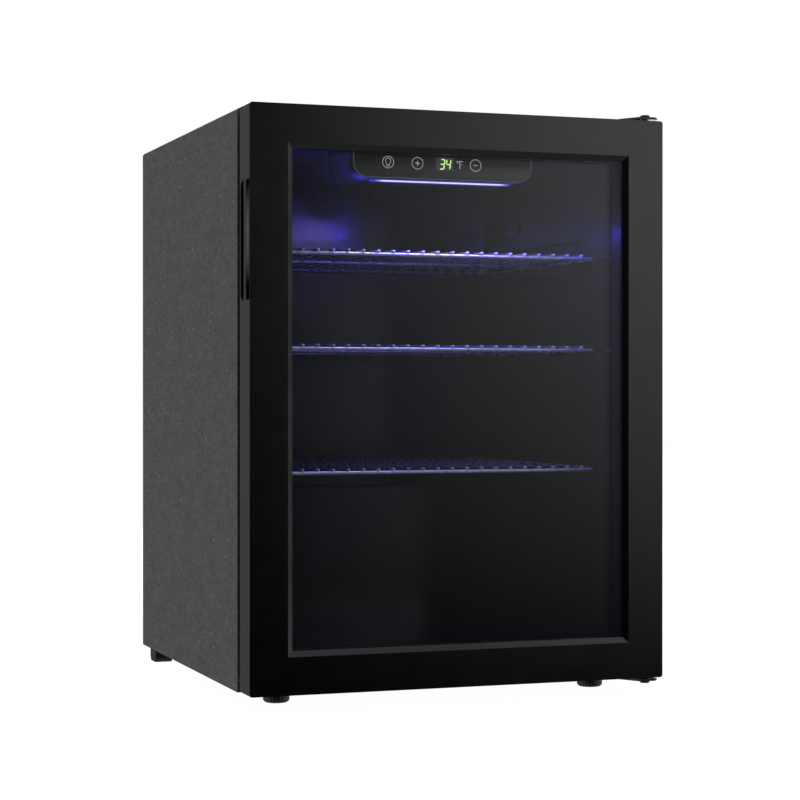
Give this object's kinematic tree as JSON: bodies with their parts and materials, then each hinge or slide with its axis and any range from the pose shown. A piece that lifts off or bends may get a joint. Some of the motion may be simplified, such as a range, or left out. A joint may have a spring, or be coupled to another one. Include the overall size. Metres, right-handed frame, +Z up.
{
  "type": "mini fridge",
  "caption": "Upright mini fridge with a hinged glass door, wire shelves, a lit control panel, levelling feet and a rear compressor bay.",
  "frame": {"origin": "on the floor, under the middle of the fridge", "axes": "+X to the right of a person facing the door, +Y from the door to the back, +Z up"},
  "size_m": [0.48, 0.507, 0.6491],
  "materials": {
    "pebbled_steel": "fine pebbled dark grey paint",
    "black_steel": "semi-gloss black paint",
    "zinc_steel": "zinc plated",
    "foam": "rigid foam",
    "liner_plastic": "glossy black",
    "black_plastic": "satin black",
    "door_plastic": "satin black",
    "gloss_black": "gloss black",
    "display": "dark display window",
    "circuit_board": "solder mask",
    "led_light": "milky diffuser",
    "coated_wire": "grey coated wire",
    "glass": "clear, slightly tinted",
    "rubber": "soft black",
    "white_plastic": "natural acetal",
    "copper": "copper pipe",
    "aluminium": "mill finish"
  },
  "bodies": {
    "cabinet": {"outer_shell": "pebbled_steel", "back_panel": "black_steel", "base_plate": "black_steel", "foam_insulation": "foam", "inner_liner": "liner_plastic", "rear_left_foot": "black_plastic", "rear_right_foot": "black_plastic", "air_duct_cover": "liner_plastic", "evaporator": "aluminium", "fan_shroud": "black_plastic", "condenser_tube": "copper", "suction_line": "copper", "discharge_line": "copper", "capillary_tube": "copper", "filter_drier": "copper", "compressor": "black_steel", "compressor_rail": "zinc_steel", "relay_cover": "black_plastic", "drip_tray": "black_plastic", "drain_tube": "rubber", "cord_gland": "black_plastic", "compressor_grommet_1": "rubber", "compressor_grommet_2": "rubber", "compressor_grommet_3": "rubber", "compressor_grommet_4": "rubber", "control_housing": "black_plastic", "control_fascia": "gloss_black", "display_module": "display", "control_board": "circuit_board", "led_diffuser": "led_light", "temperature_sensor": "black_plastic", "top_hinge_bracket": "black_steel", "top_hinge_pin": "black_steel", "bottom_hinge_bracket": "black_steel", "bottom_hinge_pin": "black_steel", "top_hinge_screw_1": "black_steel", "top_hinge_screw_2": "black_steel", "top_hinge_screw_3": "black_steel", "bottom_hinge_screw_1": "black_steel", "bottom_hinge_screw_2": "black_steel"},
    "door": {"door_frame": "door_plastic", "door_inner_frame": "black_plastic", "outer_glass": "glass", "inner_glass": "glass", "glass_spacer": "black_plastic", "door_gasket": "rubber", "handle_insert": "black_plastic", "top_door_bush": "white_plastic", "bottom_door_bush": "white_plastic"},
    "upper_shelf": {"shelf_upper": "coated_wire"},
    "middle_shelf": {"shelf_middle": "coated_wire"},
    "lower_shelf": {"shelf_lower": "coated_wire"},
    "light_button": {"light_key": "gloss_black"},
    "plus_button": {"plus_key": "gloss_black"},
    "minus_button": {"minus_key": "gloss_black"},
    "left_foot": {"front_left_foot": "black_plastic"},
    "right_foot": {"front_right_foot": "black_plastic"},
    "fan": {"fan_rotor": "black_plastic"}
  },
  "joints": [
    {"name": "door_hinge", "type": "hinge", "parent": "cabinet", "child": "door", "pos_m": [0.223, -0.243, 0.33], "axis": [0, 0, 1], "range_deg": [0, 115]},
    {"name": "upper_shelf_slide", "type": "slide", "parent": "cabinet", "child": "upper_shelf", "axis": [0, -1, 0], "range_m": [0, 0.03]},
    {"name": "middle_shelf_slide", "type": "slide", "parent": "cabinet", "child": "middle_shelf", "axis": [0, -1, 0], "range_m": [0, 0.03]},
    {"name": "lower_shelf_slide", "type": "slide", "parent": "cabinet", "child": "lower_shelf", "axis": [0, -1, 0], "range_m": [0, 0.03]},
    {"name": "light_key_press", "type": "slide", "parent": "cabinet", "child": "light_button", "axis": [0, 1, 0], "range_m": [0, 0.0005], "stiffness_N_per_m": 1200},
    {"name": "plus_key_press", "type": "slide", "parent": "cabinet", "child": "plus_button", "axis": [0, 1, 0], "range_m": [0, 0.0005], "stiffness_N_per_m": 1200},
    {"name": "minus_key_press", "type": "slide", "parent": "cabinet", "child": "minus_button", "axis": [0, 1, 0], "range_m": [0, 0.0005], "stiffness_N_per_m": 1200},
    {"name": "left_foot_level", "type": "slide", "parent": "cabinet", "child": "left_foot", "axis": [0, 0, -1], "range_m": [0, 0.01]},
    {"name": "right_foot_level", "type": "slide", "parent": "cabinet", "child": "right_foot", "axis": [0, 0, -1], "range_m": [0, 0.01]},
    {"name": "fan_spin", "type": "hinge", "parent": "cabinet", "child": "fan", "pos_m": [0, 0.16, 0.542], "axis": [0, 1, 0], "continuous": true}
  ]
}
